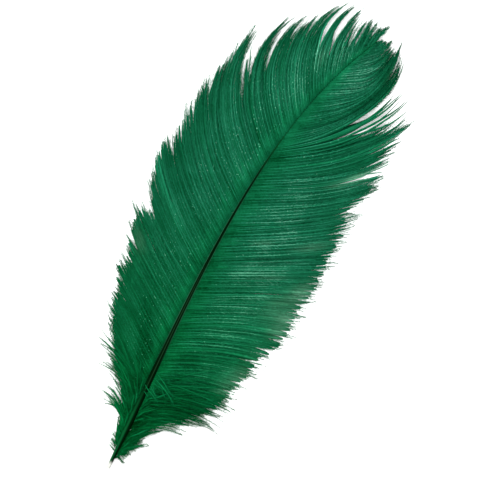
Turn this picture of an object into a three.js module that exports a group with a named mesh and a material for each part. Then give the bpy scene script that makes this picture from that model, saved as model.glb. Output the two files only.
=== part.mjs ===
// A dyed ostrich plume lying on a table. A tapering shaft, hollow at its cut quill end, carries a web of long limp
// barbs on each side, and a short tuft of down on each side of the quill below the webs.
// Millimetres, +Z up from the table, +Y from the quill's cut end to the tip, +X to the right seen from above.
import * as THREE from "three";

// ---- Shaft ----

// The shaft's centreline is one Bezier curve from the middle of the cut quill end to the last fine tip.
const SHAFT_START = new THREE.Vector3(-1.2, -1.8, 1.15);
const SHAFT_LEAVES = new THREE.Vector3(-10.7, 92.6, 6.2);
const SHAFT_ARRIVES = new THREE.Vector3(-34.5, 205, 7.2);
const SHAFT_END = new THREE.Vector3(-0.5, 288, 2.2);

// Widths of the shaft by distance from the cut end.
const SHAFT_WIDTHS = [
  { at: 0, width: 1.8 },
  { at: 11, width: 2.5 },
  { at: 22, width: 3.5 },
  { at: 32, width: 3.9 },
  { at: 72, width: 3.7 },
  { at: 127, width: 2.7 },
  { at: 177, width: 1.8 },
  { at: 227, width: 1.1 },
  { at: 295, width: 0.45 },
];
const SHAFT_DEPTH_SHARE = 0.92; // the shaft is a little less deep than wide
const SHAFT_SIDES = 16;
const SHAFT_STEPS = 44;

// A shallow groove runs along the shaft's upper face, from where the webs begin.
const GROOVE_START = 40;
const GROOVE_FADE = 25;
const GROOVE_DEPTH_SHARE = 0.22;
const GROOVE_HALF_ANGLE = THREE.MathUtils.degToRad(32);

// The quill is hollow for a short way in from its cut end.
const BORE_DEPTH = 9;
const BORE_WIDTH_SHARE = 0.6;

// ---- Webs and down ----

// Guide barbs, from the quill end to the tip. station is the distance along the shaft where the barb grows out.
// angles are those, in degrees, between the barb and the shaft's run there, at the shares of its length that
// ANGLES_AT gives. length is the barb's own length. The barbs between two guides are blends of them.
const ANGLES_AT = [0, 0.35, 0.7, 1];
const LEFT_GUIDES = [
  { station: 14, angles: [42, 42, 42, 42], length: 7 },
  { station: 22, angles: [44, 44, 44, 44], length: 13 },
  { station: 32, angles: [48, 47, 45, 44], length: 30 },
  { station: 44, angles: [47, 47, 48, 49], length: 46 },
  { station: 62, angles: [51, 52, 54, 57], length: 53 },
  { station: 87, angles: [54, 55, 55, 53], length: 57 },
  { station: 112, angles: [56, 55, 50, 44], length: 63 },
  { station: 138, angles: [57, 53, 44, 31], length: 70 },
  { station: 164, angles: [57, 51, 37, 19], length: 76 },
  { station: 191, angles: [57, 49, 27, -1], length: 78 },
  { station: 212, angles: [57, 43, 15, -20], length: 77 },
  { station: 236, angles: [50, 35, 11, -16], length: 65 },
  { station: 256, angles: [42, 29, 11, -8], length: 48 },
  { station: 276, angles: [36, 26, 16, 6], length: 27 },
  { station: 292, angles: [18, 14, 9, 4], length: 12 },
];
const RIGHT_GUIDES = [
  { station: 14, angles: [48, 56, 65, 72], length: 13 },
  { station: 22, angles: [52, 62, 72, 80], length: 22 },
  { station: 32, angles: [56, 67, 78, 88], length: 39 },
  { station: 44, angles: [57, 70, 82, 91], length: 49 },
  { station: 56, angles: [57, 70, 81, 89], length: 54 },
  { station: 74, angles: [60, 70, 77, 82], length: 57 },
  { station: 99, angles: [60, 65, 70, 73], length: 61 },
  { station: 125, angles: [61, 63, 63, 62], length: 66 },
  { station: 151, angles: [59, 58, 54, 47], length: 76 },
  { station: 177, angles: [58, 56, 47, 33], length: 82 },
  { station: 196, angles: [55, 47, 31, 22], length: 84 },
  { station: 204, angles: [51, 43, 25, 12], length: 84 },
  { station: 209, angles: [48, 28, 14, -26], length: 91 },
  { station: 216, angles: [48, 30, 8, -24], length: 85 },
  { station: 222, angles: [48, 31, 4, -21], length: 80 },
  { station: 232, angles: [49, 33, 1, -20], length: 70 },
  { station: 244, angles: [48, 39, -2, -14], length: 56 },
  { station: 254, angles: [46, 42, -3, -15], length: 46 },
  { station: 264, angles: [40, 36, 1, -10], length: 35 },
  { station: 274, angles: [33, 24, 9, -4], length: 25 },
  { station: 282, angles: [26, 21, 14, 1], length: 14 },
  { station: 292, angles: [14, 10, 6, 0], length: 6 },
];
const BARB_STEPS = 48; // straight steps that a barb's curve is summed in

const DOWN_STATIONS = { from: 14, to: 51 };
const WEB_STATIONS = { from: 53, to: 291 };

// How far along its length a barb comes down to the table, and how thick the fluffed layer of barbs is.
const LANDING = 0.6;
const WEB_LAYER = { thick: 3.2, root: 1.0, tip: 0.9 };
const DOWN_LAYER = { thick: 8.5, root: 1.8, tip: 2.0 };
const THICK_PER_LENGTH = 0.09; // short barbs make a thinner layer
const THICK_FROM = 0.3;
const THICK_UNTIL = 0.6;

// The edge of a web is parted into pointed locks, which are deepest near the tip.
const WEB_LOCKS = 18;
const DOWN_LOCKS = 3;
const STEPS_PER_LOCK = 4;
const LOCK_DEPTH = { base: 0.09, tip: 0.26 };
const STEPS_ACROSS = 6;

const ATTACHMENT_GAP = 0.3; // between the shaft's side and the barbs' roots
const RIGHT = 1;
const LEFT = -1;

// ---- Materials ----

const quillHorn = new THREE.MeshStandardMaterial({ color: 0x0b2a16, roughness: 0.38, metalness: 0 });
const webGreen = new THREE.MeshStandardMaterial({ color: 0x14673f, roughness: 0.85, metalness: 0 });
const downGreen = new THREE.MeshStandardMaterial({ color: 0x0d5a34, roughness: 0.95, metalness: 0 });

// ---- Shared measures ----

const shaftCurve = new THREE.CubicBezierCurve3(SHAFT_START, SHAFT_LEAVES, SHAFT_ARRIVES, SHAFT_END);
shaftCurve.arcLengthDivisions = 800;
const shaftLength = shaftCurve.getLength();

/** Blends two numbers along a smooth step, for a share that is held between 0 and 1. */
function ease(from, to, share) {
  return THREE.MathUtils.lerp(from, to, THREE.MathUtils.smoothstep(share, 0, 1));
}

/** The rows of a table on either side of a place, and the share of the way from the first to the second. */
function rowsAround(table, key, place) {
  const next = table.findIndex((row) => row[key] >= place);
  const second = next < 0 ? table.length - 1 : Math.max(next, 1);
  const [before, after] = [table[second - 1], table[second]];
  const share = THREE.MathUtils.clamp((place - before[key]) / (after[key] - before[key]), 0, 1);
  return { before, after, share };
}

function shaftWidth(station) {
  const { before, after, share } = rowsAround(SHAFT_WIDTHS, "at", station);
  return THREE.MathUtils.lerp(before.width, after.width, share);
}

/** The shaft's centre at a station, its run there and the level direction to its right. */
function shaftFrame(station) {
  const share = THREE.MathUtils.clamp(station / shaftLength, 0, 1);
  const run = shaftCurve.getTangentAt(share);
  const right = new THREE.Vector3(run.y, -run.x, 0).normalize();
  return { centre: shaftCurve.getPointAt(share), run, right };
}

/** A mesh whose name is the node's name. */
function named(name, geometry, material) {
  const mesh = new THREE.Mesh(geometry, material);
  mesh.name = name;
  return mesh;
}

/** Moves every vertex of a geometry to the place that a function gives for it. */
function reshaped(geometry, place) {
  const position = geometry.attributes.position;
  const vertex = new THREE.Vector3();
  for (let i = 0; i < position.count; i += 1) {
    vertex.fromBufferAttribute(position, i);
    position.setXYZ(i, ...place(vertex).toArray());
  }
  geometry.computeVertexNormals();
  return geometry;
}

// ---- Shaft ----

/** How far the groove takes in the shaft's surface at an angle from straight up, as a share of its radius. */
function grooveShare(station, fromTop) {
  const along = THREE.MathUtils.smoothstep(station, GROOVE_START, GROOVE_START + GROOVE_FADE);
  const across = Math.max(0, 1 - Math.abs(fromTop) / GROOVE_HALF_ANGLE);
  return GROOVE_DEPTH_SHARE * along * across;
}

/** A turned rod with a blind bore at its start, bent along the shaft's curve. Its profile is in unit radii. */
function shaftGeometry() {
  const profile = [new THREE.Vector2(0, shaftLength)];
  for (let i = SHAFT_STEPS; i >= 0; i -= 1) {
    profile.push(new THREE.Vector2(1, (shaftLength * i) / SHAFT_STEPS));
  }
  profile.push(new THREE.Vector2(BORE_WIDTH_SHARE, 0));
  profile.push(new THREE.Vector2(BORE_WIDTH_SHARE, BORE_DEPTH));
  profile.push(new THREE.Vector2(0, BORE_DEPTH));
  profile.reverse();
  return reshaped(new THREE.LatheGeometry(profile, SHAFT_SIDES), (vertex) => {
    const station = vertex.y;
    const { centre, run, right } = shaftFrame(station);
    const up = new THREE.Vector3().crossVectors(right, run);
    const reach = Math.hypot(vertex.x, vertex.z);
    const fromTop = Math.atan2(vertex.x, vertex.z);
    const outer = reach > BORE_WIDTH_SHARE;
    const radius = (shaftWidth(station) / 2) * (outer ? 1 - grooveShare(station, fromTop) : 1);
    return centre
      .addScaledVector(right, vertex.x * radius)
      .addScaledVector(up, vertex.z * radius * SHAFT_DEPTH_SHARE);
  });
}

// ---- Webs and down ----

function guideAt(guides, station) {
  const { before, after, share } = rowsAround(guides, "station", station);
  return {
    angles: before.angles.map((angle, i) => THREE.MathUtils.lerp(angle, after.angles[i], share)),
    length: THREE.MathUtils.lerp(before.length, after.length, share),
  };
}

/** The angle between a barb and the shaft at a share of the barb's length. */
function barbAngle({ angles }, share) {
  const next = ANGLES_AT.findIndex((at) => at > share);
  const part = (share - ANGLES_AT[next - 1]) / (ANGLES_AT[next] - ANGLES_AT[next - 1]);
  return THREE.MathUtils.degToRad(THREE.MathUtils.lerp(angles[next - 1], angles[next], part));
}

/** The plan of a barb, as points at equal steps from its root to its full length. */
function barbPlan(guides, side, station) {
  const guide = guideAt(guides, station);
  const { centre, run, right } = shaftFrame(station);
  const heading = Math.atan2(run.y, run.x);
  const rootOffset = side * (shaftWidth(station) / 2 + ATTACHMENT_GAP);
  const points = [centre.addScaledVector(right, rootOffset)];
  for (let i = 0; i < BARB_STEPS; i += 1) {
    const angle = heading - side * barbAngle(guide, (i + 0.5) / BARB_STEPS);
    const step = new THREE.Vector3(Math.cos(angle), Math.sin(angle), 0);
    points.push(points[i].clone().addScaledVector(step, guide.length / BARB_STEPS));
  }
  return { points, length: guide.length };
}

/** The share of its full length that a barb keeps, so that a run of barbs ends in pointed locks. */
function lockShare(lockPlace, webShare) {
  const fromSplit = 1 - Math.abs((lockPlace % 1) * 2 - 1);
  const depth = THREE.MathUtils.lerp(LOCK_DEPTH.base, LOCK_DEPTH.tip, webShare * webShare);
  return 1 - depth * (1 - fromSplit);
}

function layerThickness(layer, length, share) {
  const thick = Math.min(layer.thick, layer.root + THICK_PER_LENGTH * length);
  return share < THICK_FROM
    ? ease(layer.root, thick, share / THICK_FROM)
    : ease(thick, layer.tip, (share - THICK_UNTIL) / (1 - THICK_UNTIL));
}

/** A layer of barbs between two stations: a block whose three directions are along, across and up. */
function layerGeometry({ guides, side, stations, locks, layer }) {
  const along = locks * STEPS_PER_LOCK;
  const plans = Array.from({ length: along + 1 }, (_, i) =>
    barbPlan(guides, side, THREE.MathUtils.lerp(stations.from, stations.to, i / along)),
  );
  const block = new THREE.BoxGeometry(1, 1, 1, STEPS_ACROSS, 1, along);
  return reshaped(block, ({ x, y, z }) => {
    const step = Math.round((0.5 - side * z) * along);
    const { points, length } = plans[step];
    const share = (x + 0.5) * lockShare(step / STEPS_PER_LOCK, step / along);
    const place = share * BARB_STEPS;
    const before = Math.min(Math.floor(place), BARB_STEPS - 1);
    const point = points[before].clone().lerp(points[before + 1], place - before);
    const thickness = layerThickness(layer, length, share);
    const middle = ease(point.z, thickness / 2, share / LANDING);
    const underside = Math.max(0, middle - thickness / 2);
    point.z = y > 0 ? underside + thickness : underside;
    return point;
  });
}

// ---- Assembly ----

const web = { stations: WEB_STATIONS, locks: WEB_LOCKS, layer: WEB_LAYER };
const down = { stations: DOWN_STATIONS, locks: DOWN_LOCKS, layer: DOWN_LAYER };
const left = { guides: LEFT_GUIDES, side: LEFT };
const right = { guides: RIGHT_GUIDES, side: RIGHT };

const plume = new THREE.Group();
plume.add(
  named("shaft", shaftGeometry(), quillHorn),
  named("left_web", layerGeometry({ ...web, ...left }), webGreen),
  named("right_web", layerGeometry({ ...web, ...right }), webGreen),
  named("left_down", layerGeometry({ ...down, ...left }), downGreen),
  named("right_down", layerGeometry({ ...down, ...right }), downGreen),
);

// The origin is on the table, under the middle of the plume's box.
const box = new THREE.Box3().setFromObject(plume, true);
const middle = box.getCenter(new THREE.Vector3());
plume.position.set(-middle.x, -middle.y, -box.min.z);

const feather = new THREE.Group();
feather.add(plume);

export default feather;
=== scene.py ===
"""An ostrich plume in green dye, lying on a pale floor: its shaft, the barbs and barbules of both webs, and the down.
"""

import logging
import math
from dataclasses import dataclass, field, fields
from enum import Enum
from typing import Callable, Sequence

import bpy
import numpy as np
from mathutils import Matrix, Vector


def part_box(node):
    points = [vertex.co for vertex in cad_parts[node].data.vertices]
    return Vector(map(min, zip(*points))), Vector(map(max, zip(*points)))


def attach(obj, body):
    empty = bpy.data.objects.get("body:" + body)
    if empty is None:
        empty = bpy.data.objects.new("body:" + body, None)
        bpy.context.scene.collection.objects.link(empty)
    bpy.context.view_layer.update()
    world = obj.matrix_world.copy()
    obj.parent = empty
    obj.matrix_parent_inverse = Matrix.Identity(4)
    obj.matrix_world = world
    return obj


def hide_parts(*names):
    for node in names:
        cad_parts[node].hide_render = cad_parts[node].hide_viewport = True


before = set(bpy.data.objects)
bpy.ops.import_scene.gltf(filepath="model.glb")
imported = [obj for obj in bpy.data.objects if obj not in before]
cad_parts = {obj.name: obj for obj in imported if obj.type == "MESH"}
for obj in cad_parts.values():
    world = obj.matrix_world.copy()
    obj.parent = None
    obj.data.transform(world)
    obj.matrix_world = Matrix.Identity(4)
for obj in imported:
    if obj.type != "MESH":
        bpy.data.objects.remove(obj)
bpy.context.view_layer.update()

MM = 0.001
log = logging.getLogger("plume")

Array = np.ndarray
Colour = tuple[float, float, float]
Pair = tuple[float, float]
Profile = Sequence[Pair]


# ---- Small tools ----


def smooth(value: Array | float, low: Array | float, high: Array | float) -> Array:
    """Rises smoothly from 0 to 1.

    Args:
        value: The number or numbers to read.
        low: Where the rise starts.
        high: Where it ends.

    Returns:
        The share of the rise at each value.
    """
    share = np.clip((np.asarray(value, float) - low) / (high - low), 0.0, 1.0)
    return share * share * (3.0 - 2.0 * share)


def mix(start: Array | float, end: Array | float, share: Array | float) -> Array:
    """Blends two values.

    Args:
        start: The value at a share of 0.
        end: The value at a share of 1.
        share: How much of the end is wanted.

    Returns:
        The blend.
    """
    return np.asarray(start) * (1.0 - np.asarray(share)) + np.asarray(end) * np.asarray(share)


def unit(vectors: Array) -> Array:
    """Scales vectors to a length of one.

    Args:
        vectors: The vectors, along the last axis.

    Returns:
        The unit vectors.
    """
    return vectors / np.maximum(np.linalg.norm(vectors, axis=-1, keepdims=True), 1e-12)


def read(profile: Profile, at: Array) -> Array:
    """Reads a profile between its points.

    Args:
        profile: Pairs of a place and the value there.
        at: The places to read.

    Returns:
        The values.
    """
    return np.interp(at, *np.array(profile).T)


def take(samples: Array, share: Array) -> Array:
    """Reads values between equally spaced samples.

    Args:
        samples: One row of samples for each strand, as (strands, samples, ...).
        share: Places from 0 to 1 on each strand, as (strands, places).

    Returns:
        The blended samples, as (strands, places, ...).
    """
    last = samples.shape[1] - 1
    place = np.clip(share, 0.0, 1.0) * last
    before = np.minimum(place.astype(int), last - 1)
    part = (place - before).reshape(place.shape + (1,) * (samples.ndim - 2))
    rows = np.arange(len(samples))[:, None]
    return samples[rows, before] * (1.0 - part) + samples[rows, before + 1] * part


def waves(draw: np.random.Generator, count: int, share: Array, amount: float, slowest: float = 0.6) -> Array:
    """Slow random bends, one line of them for each strand.

    Args:
        draw: The source of chance.
        count: How many strands.
        share: The shares of the length, as (samples,).
        amount: How far the bends go, in the unit that is wanted back.
        slowest: The turns of the slowest wave over the length.

    Returns:
        The bends, as (strands, samples), which start from nothing at the root.
    """
    total = np.zeros((count, len(share)))
    for turns, part in ((slowest, 1.0), (slowest * 2.3, 0.45), (slowest * 4.7, 0.18)):
        phase = draw.uniform(0, 2 * math.pi, (count, 1))
        wave = np.sin(2 * math.pi * turns * share[None, :] + phase) - np.sin(phase)
        total += part * draw.normal(0, 1, (count, 1)) * wave
    return amount * total


class Side(Enum):
    """The two sides of the shaft, as the sign of X that they lie towards."""

    LEFT = -1
    RIGHT = 1


# ---- Modelling with operators ----


def only(obj: bpy.types.Object) -> None:
    """Leaves one object selected and active.

    Args:
        obj: The object.
    """
    bpy.ops.object.select_all(action="DESELECT")
    obj.select_set(True)
    bpy.context.view_layer.objects.active = obj


def settle() -> bpy.types.Object:
    """Applies the active object's place and turn to its mesh, so that its object sits at the origin.

    Returns:
        The active object.
    """
    bpy.ops.object.transform_apply(location=True, rotation=True, scale=True)
    return bpy.context.active_object


def pick(obj: bpy.types.Object, kind: str, wanted: Callable[[object], bool]) -> None:
    """Selects some of a mesh's elements and leaves the object in edit mode.

    Args:
        obj: The object, which is active.
        kind: VERT or FACE.
        wanted: Says of each element whether it is selected.
    """
    bpy.ops.object.mode_set(mode="EDIT")
    bpy.ops.mesh.select_mode(type=kind)
    bpy.ops.mesh.select_all(action="DESELECT")
    bpy.ops.object.mode_set(mode="OBJECT")
    for item in {"VERT": obj.data.vertices, "FACE": obj.data.polygons}[kind]:
        item.select = wanted(item)
    bpy.ops.object.mode_set(mode="EDIT")


def numbers(items: bpy.types.bpy_prop_collection, title: str, width: int) -> Array:
    """Reads one property of all of a mesh's vertices, corners or faces.

    Args:
        items: The vertices, corners or faces.
        title: The property.
        width: How many numbers each of them has.

    Returns:
        The numbers, as (items, width).
    """
    values = np.empty(len(items) * width)
    items.foreach_get(title, values)
    return values.reshape(-1, width)


def store(mesh: bpy.types.Mesh, values: dict[str, Array]) -> None:
    """Stores values at a mesh's points for its material to read.

    Args:
        mesh: The mesh.
        values: The values at the points, by the names of the attributes.
    """
    for title, value in values.items():
        layer = mesh.attributes.new(title, "FLOAT", "POINT")
        layer.data.foreach_set("value", np.asarray(value, np.float32))


def linked(name: str, data: bpy.types.ID) -> bpy.types.Object:
    """Makes an object in the scene.

    Args:
        name: The object's name.
        data: Its mesh, light or camera.

    Returns:
        The object.
    """
    obj = bpy.data.objects.new(name, data)
    bpy.context.scene.collection.objects.link(obj)
    return obj


@dataclass
class Seed:
    """A small closed shape that is modelled once and repeated along many paths.

    It lies along +Y from 0 to 1. Its width is along X and its depth along Z.
    """

    points: Array
    corners: Array
    totals: Array
    around: Array
    along: Array

    @classmethod
    def of(cls, obj: bpy.types.Object) -> "Seed":
        """Reads a modelled object as a seed and removes the object.

        Args:
            obj: The modelled shape, with its object at the origin and a UV map.

        Returns:
            The seed.
        """
        mesh = obj.data
        points = numbers(mesh.vertices, "co", 3)
        corners = numbers(mesh.loops, "vertex_index", 1)[:, 0].astype(np.int32)
        totals = numbers(mesh.polygons, "loop_total", 1)[:, 0].astype(np.int32)
        around = numbers(mesh.uv_layers.active.data, "uv", 2)[:, 0]
        bpy.data.objects.remove(obj)
        return cls(points, corners, totals, around, points[corners, 1])


def barb_seed(steps: int) -> Seed:
    """Models one straight barb: a flat four-sided strand with a raised ridge along its upper face.

    Args:
        steps: How many lengths the strand is cut into, so that it can bend.

    Returns:
        The barb as a seed.
    """
    bpy.ops.object.select_all(action="DESELECT")
    bpy.ops.mesh.primitive_cylinder_add(
        vertices=4, radius=0.5, depth=1.0, location=(0, 0.5, 0), rotation=(-math.pi / 2, 0, 0)
    )
    obj = settle()
    bpy.ops.object.mode_set(mode="EDIT")
    for step in range(1, steps):
        bpy.ops.mesh.select_all(action="SELECT")
        bpy.ops.mesh.bisect(plane_co=(0, step / steps, 0), plane_no=(0, 1, 0))
    pick(obj, "VERT", lambda v: v.co.z > 0.2)
    bpy.ops.transform.translate(value=(0, 0, 0.25))
    pick(obj, "VERT", lambda v: v.co.z < -0.2)
    bpy.ops.transform.translate(value=(0, 0, 0.3))
    bpy.ops.object.mode_set(mode="OBJECT")
    return Seed.of(obj)


def barbule_seed() -> Seed:
    """Models one barbule: a three-sided spike whose point curves up a little.

    Returns:
        The barbule as a seed.
    """
    bpy.ops.object.select_all(action="DESELECT")
    bpy.ops.mesh.primitive_cone_add(
        vertices=3, radius1=0.5, radius2=0.0, depth=1.0, location=(0, 0.5, 0), rotation=(-math.pi / 2, 0, 0)
    )
    obj = settle()
    pick(obj, "VERT", lambda v: v.co.y > 0.5)
    bpy.ops.transform.translate(value=(0, 0, 0.3))
    bpy.ops.object.mode_set(mode="OBJECT")
    return Seed.of(obj)


# ---- The shaft's line and the barbs' plans ----


@dataclass(frozen=True)
class ShaftLine:
    """The shaft's centreline, a Bezier curve in millimetres, and its width along it.

    Barbs grow out at the flank, which is a share of the width away from the centreline.
    """

    control: tuple[tuple[float, float, float], ...] = (
        (-1.2, -1.8, 1.15),
        (-10.7, 92.6, 6.2),
        (-34.5, 205.0, 7.2),
        (-0.5, 288.0, 2.2),
    )
    widths: Profile = (
        (0, 1.8),
        (11, 2.5),
        (22, 3.5),
        (32, 3.9),
        (72, 3.7),
        (127, 2.7),
        (177, 1.8),
        (227, 1.1),
        (295, 0.45),
    )
    flank: float = 0.45

    def curve(self, share: Array) -> Array:
        """Reads the Bezier curve.

        Args:
            share: The curve's parameter, from 0 to 1.

        Returns:
            The points.
        """
        a, b, c, d = (np.array(p) for p in self.control)
        t = np.asarray(share, float)[..., None]
        return (1 - t) ** 3 * a + 3 * (1 - t) ** 2 * t * b + 3 * (1 - t) * t**2 * c + t**3 * d

    def _steps(self) -> tuple[Array, Array]:
        """Cuts the curve into many short steps.

        Returns:
            The curve's parameter at the ends of the steps, and the length of each step.
        """
        share = np.linspace(0, 1, 4001)
        return share, np.linalg.norm(np.diff(self.curve(share), axis=0), axis=1)

    def at(self, station: Array) -> tuple[Array, Array, Array]:
        """Reads the centreline at distances along it.

        Args:
            station: Distances from the cut end.

        Returns:
            The centre, the direction of the run and the level direction to its right.
        """
        share, steps = self._steps()
        here = np.interp(station, np.r_[0, np.cumsum(steps)], share)
        step = 1e-4
        run = unit(self.curve(np.minimum(here + step, 1)) - self.curve(np.maximum(here - step, 0)))
        right = unit(np.stack([run[..., 1], -run[..., 0], np.zeros_like(run[..., 0])], -1))
        return self.curve(here), run, right

    def length(self) -> float:
        """Measures the centreline.

        Returns:
            Its length.
        """
        return float(self._steps()[1].sum())

    def width(self, station: Array) -> Array:
        """Reads the shaft's width.

        Args:
            station: Distances from the cut end.

        Returns:
            The widths.
        """
        return read(self.widths, station)

    def root(self, station: Array, side: Side) -> tuple[Array, Array]:
        """Finds where barbs grow out of the shaft's flank.

        Args:
            station: Distances from the cut end.
            side: The flank.

        Returns:
            The points, and the heading of the shaft's run at each in radians from +X.
        """
        centre, run, right = self.at(station)
        points = centre + right * (side.value * self.width(station) * self.flank)[:, None]
        return points, np.arctan2(run[:, 1], run[:, 0])


@dataclass(frozen=True)
class Guide:
    """A barb that those near it follow. Angles are from the shaft's run, in degrees, and lengths in mm."""

    station: float
    root: float
    low: float
    high: float
    tip: float
    length: float


LEFT_GUIDES = (
    Guide(14, 42, 42, 42, 42, 7),
    Guide(22, 44, 44, 44, 44, 13),
    Guide(32, 48, 47, 45, 44, 30),
    Guide(44, 47, 47, 48, 49, 46),
    Guide(62, 51, 52, 54, 57, 53),
    Guide(87, 54, 55, 55, 53, 57),
    Guide(112, 56, 55, 50, 44, 63),
    Guide(138, 57, 53, 44, 31, 70),
    Guide(164, 57, 51, 37, 19, 76),
    Guide(191, 57, 49, 27, -1, 78),
    Guide(212, 57, 43, 15, -20, 77),
    Guide(236, 50, 35, 11, -16, 65),
    Guide(256, 42, 29, 11, -8, 48),
    Guide(276, 36, 26, 16, 6, 27),
    Guide(292, 18, 14, 9, 4, 12),
)
RIGHT_GUIDES = (
    Guide(14, 48, 56, 65, 72, 13),
    Guide(22, 52, 62, 72, 80, 22),
    Guide(32, 56, 67, 78, 88, 39),
    Guide(44, 57, 70, 82, 91, 49),
    Guide(56, 57, 70, 81, 89, 54),
    Guide(74, 60, 70, 77, 82, 57),
    Guide(99, 60, 65, 70, 73, 61),
    Guide(125, 61, 63, 63, 62, 66),
    Guide(151, 59, 58, 54, 47, 76),
    Guide(177, 58, 56, 47, 33, 82),
    Guide(196, 55, 47, 31, 22, 84),
    Guide(204, 51, 43, 25, 12, 84),
    Guide(209, 48, 28, 14, -26, 91),
    Guide(216, 48, 30, 8, -24, 85),
    Guide(222, 48, 31, 4, -21, 80),
    Guide(232, 49, 33, 1, -20, 70),
    Guide(244, 48, 39, -2, -14, 56),
    Guide(254, 46, 42, -3, -15, 46),
    Guide(264, 40, 36, 1, -10, 35),
    Guide(274, 33, 24, 9, -4, 25),
    Guide(282, 26, 21, 14, 1, 14),
    Guide(292, 14, 10, 6, 0, 6),
)


class BarbField:
    """The plan of every barb that could grow on one side of the shaft, by its station and a share of its length."""

    FIRST, LAST, SPACING = 10.0, 293.0, 0.5
    LONGEST = 1.3
    STEPS = 65
    ANGLES_AT = (0.0, 0.35, 0.7, 1.0)

    def __init__(self, shaft: ShaftLine, side: Side, guides: Sequence[Guide]) -> None:
        """Works the plans out on a grid.

        Args:
            shaft: The shaft's line.
            side: The side that the barbs grow on.
            guides: The guide barbs of that side, from the quill end to the tip.
        """
        self.stations = np.arange(self.FIRST, self.LAST + self.SPACING, self.SPACING)
        knots = np.array([(g.station, g.root, g.low, g.high, g.tip, g.length) for g in guides])
        *angles, self.lengths = (np.interp(self.stations, knots[:, 0], knots[:, k]) for k in range(1, 6))
        roots, heading = shaft.root(self.stations, side)
        share = self.LONGEST / (self.STEPS - 1)
        rows = [roots[:, :2]]
        for step in range(self.STEPS - 1):
            at = min((step + 0.5) * share, 1.0)
            weights = [np.interp(at, self.ANGLES_AT, knot) for knot in np.eye(len(angles))]
            angle = sum(weight * each for weight, each in zip(weights, angles))
            turn = heading - side.value * np.radians(angle)
            rows.append(rows[-1] + np.stack([np.cos(turn), np.sin(turn)], -1) * (self.lengths * share)[:, None])
        self.grid = np.stack(rows, 1)

    def place(self, station: Array, share: Array) -> Array:
        """Reads the plan.

        Args:
            station: Where on the shaft the barb grows out, in mm.
            share: How far along its length the point is. It may pass 1.

        Returns:
            The points' X and Y in mm.
        """
        i = np.clip((station - self.FIRST) / self.SPACING, 0, len(self.grid) - 1.001)
        j = np.clip(share / self.LONGEST * (self.STEPS - 1), 0, self.STEPS - 1.001)
        i0, j0 = i.astype(int), j.astype(int)
        u, v = (i - i0)[..., None], (j - j0)[..., None]
        low = mix(self.grid[i0, j0], self.grid[i0, j0 + 1], v)
        high = mix(self.grid[i0 + 1, j0], self.grid[i0 + 1, j0 + 1], v)
        return mix(low, high, u)

    def length(self, station: Array) -> Array:
        """Reads the full length of barbs.

        Args:
            station: Where they grow out.

        Returns:
            Their lengths in mm.
        """
        return np.interp(station, self.stations, self.lengths)


# ---- Fibres ----


@dataclass
class Strands:
    """Many barbs at once, each as equally spaced samples from root to tip. Lengths are in millimetres."""

    centre: Array
    roll: Array
    width: Array
    depth: Array
    tone: Array
    bare: Array
    glint: Array
    fluff: Array

    def frames(self) -> tuple[Array, Array, Array]:
        """The directions along, across and out of each barb at its samples.

        Returns:
            Three arrays of unit vectors, shaped as the centres are.
        """
        along = unit(np.gradient(self.centre, axis=1))
        across = unit(np.cross(along, np.array([0.0, 0.0, 1.0])))
        out = np.cross(across, along)
        cos, sin = np.cos(self.roll)[..., None], np.sin(self.roll)[..., None]
        return along, across * cos - out * sin, out * cos + across * sin

    def lengths(self) -> Array:
        """Measures the barbs.

        Returns:
            The length of each.
        """
        return np.linalg.norm(np.diff(self.centre, axis=1), axis=2).sum(1)

    def part(self, chosen: Array) -> "Strands":
        """Takes some of the strands.

        Args:
            chosen: A mask or a list of indices.

        Returns:
            Those strands.
        """
        return Strands(*(getattr(self, each.name)[chosen] for each in fields(self)))

    def joined(self, other: "Strands") -> "Strands":
        """Puts other strands after these.

        Args:
            other: Strands with the same number of samples.

        Returns:
            Both together.
        """
        return Strands(
            *(np.concatenate([getattr(self, each.name), getattr(other, each.name)]) for each in fields(self))
        )


@dataclass(frozen=True)
class BarbuleStyle:
    """How barbules grow on a barb. Lengths are in millimetres and angles in degrees.

    The opening is a share of the angle at the barb's root, at its end and at its very tip.
    """

    per_mm: float = 4.2
    length: float = 3.8
    width: float = 0.19
    angle: float = 25.0
    spread: float = 10.0
    lift: float = 6.0
    root_share: float = 0.6
    tip_share: float = 0.4
    opening: tuple[float, float, float] = (0.9, 1.15, 0.6)
    sizes: Pair = (0.55, 1.15)
    sparse_size: float = 0.4
    thickness: float = 0.5
    tone: float = -0.07
    tone_spread: float = 0.07
    root_shade: float = 0.08


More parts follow.
